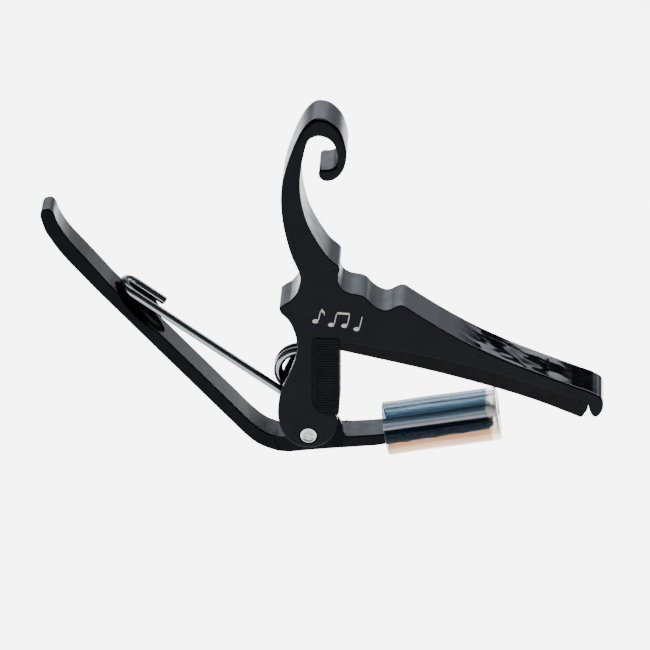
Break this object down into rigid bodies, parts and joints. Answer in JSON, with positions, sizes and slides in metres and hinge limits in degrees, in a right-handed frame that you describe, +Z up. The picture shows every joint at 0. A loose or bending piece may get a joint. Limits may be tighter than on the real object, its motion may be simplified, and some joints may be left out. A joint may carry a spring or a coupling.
{
  "type": "guitar capo",
  "caption": "Spring-loaded trigger capo for a guitar neck: a rigid frame with a finger hook and string pad, and a pivoting squeeze lever with a clear sleeve.",
  "frame": {"origin": "centre of the bounding box at the height of the lowest points, where the capo stands on its elbow and sleeve", "axes": "+X from the thumb handle towards the tip of the string arm, +Y across the pads, +Z up to the finger hook"},
  "size_m": [0.121, 0.0114, 0.0783],
  "materials": {
    "black_coat": "satin",
    "rivet_steel": "satin",
    "spring_wire": "gloss",
    "pad_rubber": "satin",
    "shoe_rubber": "matte",
    "clear_vinyl": "gloss"
  },
  "bodies": {
    "frame": {"frame": "black_coat", "string_pad": "pad_rubber", "neck_side_pad": "shoe_rubber", "spring_tail": "spring_wire", "pivot_pin": "rivet_steel"},
    "lever": {"lever": "black_coat", "clear_sleeve": "clear_vinyl"},
    "spring": {"torsion_spring": "spring_wire"}
  },
  "joints": [
    {"name": "lever_pivot", "type": "hinge", "parent": "frame", "child": "lever", "pos_m": [-0.00058, 0, 0.00475], "axis": [0, 1, 0], "range_deg": [0, 36], "stiffness_Nm_per_rad": 1.2, "springref_deg": -49.85},
    {"name": "spring_wind", "type": "hinge", "parent": "frame", "child": "spring", "pos_m": [-0.00359, 0, 0.01794], "axis": [0, 1, 0], "range_deg": [0, 47.5]}
  ],
  "couplings": [
    {"joint": "spring_wind", "follows": "lever_pivot", "ratio": 1.31}
  ]
}
